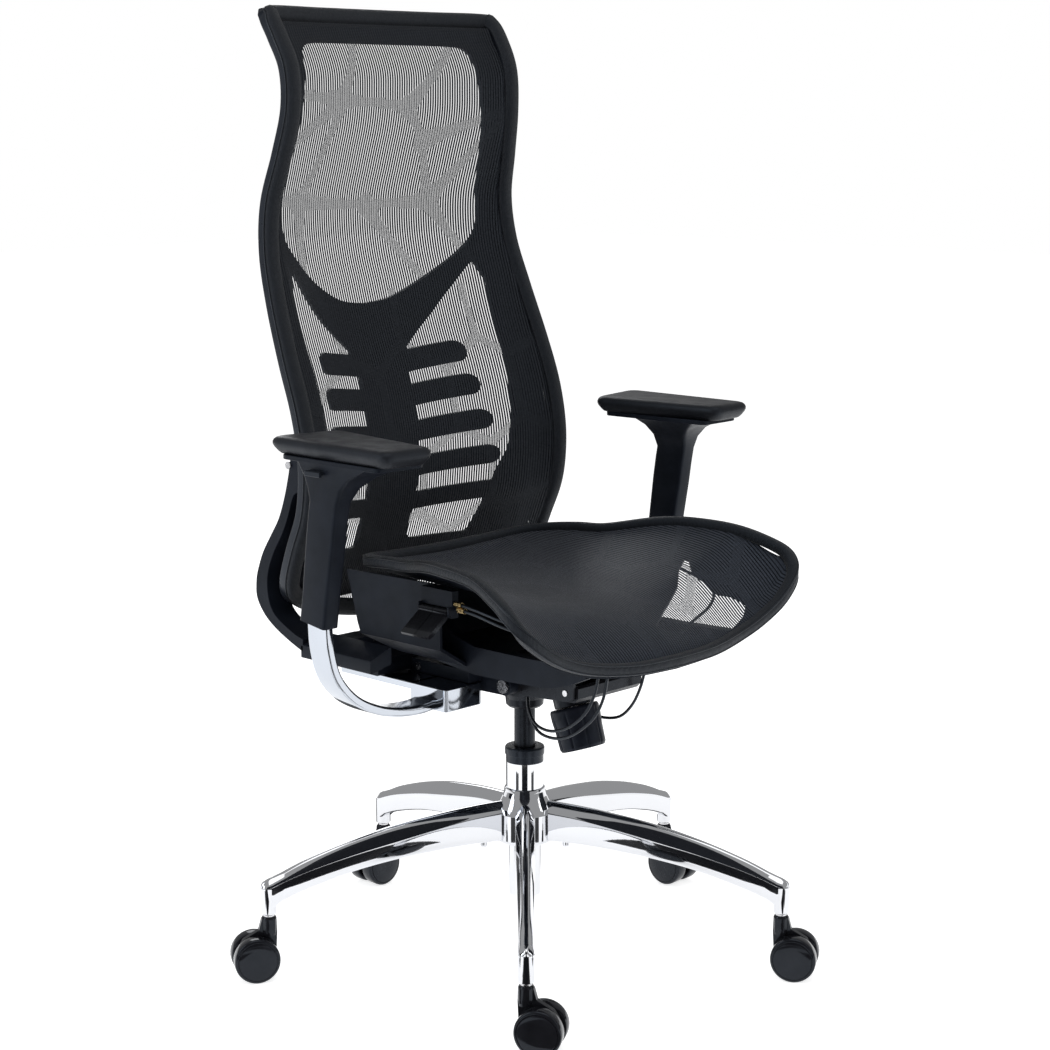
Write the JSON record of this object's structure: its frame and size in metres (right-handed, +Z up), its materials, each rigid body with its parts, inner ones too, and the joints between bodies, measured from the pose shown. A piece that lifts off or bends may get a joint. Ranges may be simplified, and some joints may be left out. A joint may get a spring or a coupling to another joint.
{
  "type": "swivel office chair",
  "caption": "High-back swivel office chair with mesh back and seat, height-adjustable arms, reclining back, gas lift and chrome base on twin-wheel casters.",
  "frame": {"origin": "on the swivel axis at floor level, where the wheels rest", "axes": "+Z up along the gas lift, -Y is where the sitter faces, +X is the sitter's left"},
  "size_m": [0.7383, 0.7409, 1.2503],
  "materials": {
    "polished_casting": "chrome plated, mirror bright",
    "chrome_tube": "mirror bright",
    "bright_steel": "zinc plated",
    "black_steel": "satin powder coat",
    "black_plastic": "fine moulded texture",
    "gloss_plastic": "gloss",
    "soft_pad": "soft polyurethane, fine leather grain",
    "mesh_fabric": "open woven elastic mesh",
    "rim_cover": "close woven cover over a moulded rim",
    "cable_jacket": "smooth",
    "brass_fitting": "machined"
  },
  "bodies": {
    "root": {"base_star": "polished_casting", "gas_tube": "chrome_tube", "gas_tube_collar": "black_plastic", "gas_rod": "bright_steel", "gas_rod_clip": "bright_steel"},
    "lift": {"gas_cylinder": "black_steel"},
    "valve": {"gas_valve": "bright_steel"},
    "mechanism": {"mechanism_housing": "black_steel", "mechanism_pins": "bright_steel", "spring_tube": "black_plastic", "tilt_spring": "bright_steel"},
    "gas_lever": {"gas_lever": "bright_steel"},
    "tension_knob": {"tension_knob": "black_plastic"},
    "seat": {"seat_rim": "rim_cover", "seat_mesh": "mesh_fabric", "seat_tray": "black_plastic", "seat_pan": "black_plastic", "seat_plate": "black_steel", "lever_box_right": "black_plastic", "lever_box_left": "black_plastic", "cable_ferrules": "brass_fitting", "cable_height": "cable_jacket", "cable_tilt": "cable_jacket", "cable_left": "cable_jacket"},
    "height_paddle": {"height_paddle": "gloss_plastic"},
    "tilt_paddle": {"tilt_paddle": "gloss_plastic"},
    "left_paddle": {"left_paddle": "gloss_plastic"},
    "back": {"back_frame": "black_plastic", "back_mesh": "mesh_fabric", "back_skeleton": "black_plastic", "back_support": "black_plastic", "back_bolts": "bright_steel", "arm_bracket_right": "polished_casting", "arm_bracket_left": "polished_casting"},
    "arm_right": {"arm_sleeve_right": "black_plastic", "arm_pad_right": "soft_pad"},
    "arm_left": {"arm_sleeve_left": "black_plastic", "arm_pad_left": "soft_pad"},
    "trigger_right": {"arm_trigger_right": "black_plastic"},
    "trigger_left": {"arm_trigger_left": "black_plastic"},
    "caster_1": {"caster_hood_1": "gloss_plastic", "caster_pins_1": "bright_steel"},
    "wheel_1_inner": {"wheel_1_inner": "gloss_plastic"},
    "wheel_1_outer": {"wheel_1_outer": "gloss_plastic"},
    "caster_2": {"caster_hood_2": "gloss_plastic", "caster_pins_2": "bright_steel"},
    "wheel_2_inner": {"wheel_2_inner": "gloss_plastic"},
    "wheel_2_outer": {"wheel_2_outer": "gloss_plastic"},
    "caster_3": {"caster_hood_3": "gloss_plastic", "caster_pins_3": "bright_steel"},
    "wheel_3_inner": {"wheel_3_inner": "gloss_plastic"},
    "wheel_3_outer": {"wheel_3_outer": "gloss_plastic"},
    "caster_4": {"caster_hood_4": "gloss_plastic", "caster_pins_4": "bright_steel"},
    "wheel_4_inner": {"wheel_4_inner": "gloss_plastic"},
    "wheel_4_outer": {"wheel_4_outer": "gloss_plastic"},
    "caster_5": {"caster_hood_5": "gloss_plastic", "caster_pins_5": "bright_steel"},
    "wheel_5_inner": {"wheel_5_inner": "gloss_plastic"},
    "wheel_5_outer": {"wheel_5_outer": "gloss_plastic"}
  },
  "joints": [
    {"name": "gas_lift", "type": "slide", "parent": "root", "child": "lift", "axis": [0, 0, 1], "range_m": [-0.048, 0.045]},
    {"name": "swivel", "type": "hinge", "parent": "lift", "child": "mechanism", "pos_m": [0, 0, 0.36], "axis": [0, 0, 1], "continuous": true},
    {"name": "recline", "type": "hinge", "parent": "mechanism", "child": "back", "pos_m": [0, -0.04, 0.385], "axis": [-1, 0, 0], "range_deg": [0, 20], "stiffness_Nm_per_rad": 70, "springref_deg": -34.38},
    {"name": "seat_tilt", "type": "hinge", "parent": "mechanism", "child": "seat", "pos_m": [0, -0.135, 0.39], "axis": [-1, 0, 0], "range_deg": [0, 6.01]},
    {"name": "valve_press", "type": "slide", "parent": "lift", "child": "valve", "axis": [0, 0, 1], "range_m": [-0.0033, 0]},
    {"name": "gas_lever_turn", "type": "hinge", "parent": "mechanism", "child": "gas_lever", "pos_m": [-0.042, 0, 0.391], "axis": [0, 1, 0], "range_deg": [0, 4.02]},
    {"name": "tension_knob_turn", "type": "hinge", "parent": "mechanism", "child": "tension_knob", "pos_m": [0, -0.098, 0.326], "axis": [0, 0.3173, 0.9483], "continuous": true},
    {"name": "height_paddle_lift", "type": "hinge", "parent": "seat", "child": "height_paddle", "pos_m": [-0.209, -0.0595, 0.507], "axis": [0, 1, 0], "range_deg": [0, 12], "stiffness_Nm_per_rad": 0.1, "springref_deg": -11.46},
    {"name": "tilt_paddle_lift", "type": "hinge", "parent": "seat", "child": "tilt_paddle", "pos_m": [-0.209, -0.0345, 0.507], "axis": [0, 1, 0], "range_deg": [0, 12], "stiffness_Nm_per_rad": 0.1, "springref_deg": -11.46},
    {"name": "left_paddle_lift", "type": "hinge", "parent": "seat", "child": "left_paddle", "pos_m": [0.209, -0.047, 0.507], "axis": [0, -1, 0], "range_deg": [0, 12], "stiffness_Nm_per_rad": 0.1, "springref_deg": -11.46},
    {"name": "arm_height_right", "type": "slide", "parent": "back", "child": "arm_right", "axis": [0, -0.1478, 0.989], "range_m": [0, 0.07]},
    {"name": "arm_height_left", "type": "slide", "parent": "back", "child": "arm_left", "axis": [0, -0.1478, 0.989], "range_m": [0, 0.07]},
    {"name": "arm_trigger_right_press", "type": "hinge", "parent": "arm_right", "child": "trigger_right", "pos_m": [-0.3325, 0.026, 0.687], "axis": [0, 1, 0], "range_deg": [0, 8], "stiffness_Nm_per_rad": 0.05, "springref_deg": -11.46},
    {"name": "arm_trigger_left_press", "type": "hinge", "parent": "arm_left", "child": "trigger_left", "pos_m": [0.3325, 0.026, 0.687], "axis": [0, -1, 0], "range_deg": [0, 8], "stiffness_Nm_per_rad": 0.05, "springref_deg": -11.46},
    {"name": "caster_1_swivel", "type": "hinge", "parent": "root", "child": "caster_1", "pos_m": [-0.25192, -0.24584, 0.085], "axis": [0, 0, 1], "continuous": true},
    {"name": "wheel_1_inner_roll", "type": "hinge", "parent": "caster_1", "child": "wheel_1_inner", "pos_m": [-0.25541, -0.2698, 0.03], "axis": [0.866, 0.5, 0], "continuous": true},
    {"name": "wheel_1_outer_roll", "type": "hinge", "parent": "caster_1", "child": "wheel_1_outer", "pos_m": [-0.22943, -0.2548, 0.03], "axis": [0.866, 0.5, 0], "continuous": true},
    {"name": "caster_2_swivel", "type": "hinge", "parent": "root", "child": "caster_2", "pos_m": [0.15596, -0.31556, 0.085], "axis": [0, 0, 1], "continuous": true},
    {"name": "wheel_2_inner_roll", "type": "hinge", "parent": "caster_2", "child": "wheel_2_inner", "pos_m": [0.15247, -0.33952, 0.03], "axis": [0.866, 0.5, 0], "continuous": true},
    {"name": "wheel_2_outer_roll", "type": "hinge", "parent": "caster_2", "child": "wheel_2_outer", "pos_m": [0.17845, -0.32452, 0.03], "axis": [0.866, 0.5, 0], "continuous": true},
    {"name": "caster_3_swivel", "type": "hinge", "parent": "root", "child": "caster_3", "pos_m": [0.34831, 0.05081, 0.085], "axis": [0, 0, 1], "continuous": true},
    {"name": "wheel_3_inner_roll", "type": "hinge", "parent": "caster_3", "child": "wheel_3_inner", "pos_m": [0.33331, 0.03181, 0.03], "axis": [1, 0, 0], "continuous": true},
    {"name": "wheel_3_outer_roll", "type": "hinge", "parent": "caster_3", "child": "wheel_3_outer", "pos_m": [0.36331, 0.03181, 0.03], "axis": [1, 0, 0], "continuous": true},
    {"name": "caster_4_swivel", "type": "hinge", "parent": "root", "child": "caster_4", "pos_m": [0.05931, 0.34697, 0.085], "axis": [0, 0, 1], "continuous": true},
    {"name": "wheel_4_inner_roll", "type": "hinge", "parent": "caster_4", "child": "wheel_4_inner", "pos_m": [0.04031, 0.36197, 0.03], "axis": [0, -1, 0], "continuous": true},
    {"name": "wheel_4_outer_roll", "type": "hinge", "parent": "caster_4", "child": "wheel_4_outer", "pos_m": [0.04031, 0.33197, 0.03], "axis": [0, -1, 0], "continuous": true},
    {"name": "caster_5_swivel", "type": "hinge", "parent": "root", "child": "caster_5", "pos_m": [-0.31166, 0.16362, 0.085], "axis": [0, 0, 1], "continuous": true},
    {"name": "wheel_5_inner_roll", "type": "hinge", "parent": "caster_5", "child": "wheel_5_inner", "pos_m": [-0.32061, 0.18612, 0.03], "axis": [-0.5, -0.866, 0], "continuous": true},
    {"name": "wheel_5_outer_roll", "type": "hinge", "parent": "caster_5", "child": "wheel_5_outer", "pos_m": [-0.33561, 0.16013, 0.03], "axis": [-0.5, -0.866, 0], "continuous": true}
  ],
  "couplings": [
    {"joint": "seat_tilt", "follows": "recline", "ratio": 0.3},
    {"joint": "gas_lever_turn", "follows": "height_paddle_lift", "ratio": 0.333},
    {"joint": "valve_press", "follows": "height_paddle_lift", "m_per_rad": -0.0153}
  ]
}
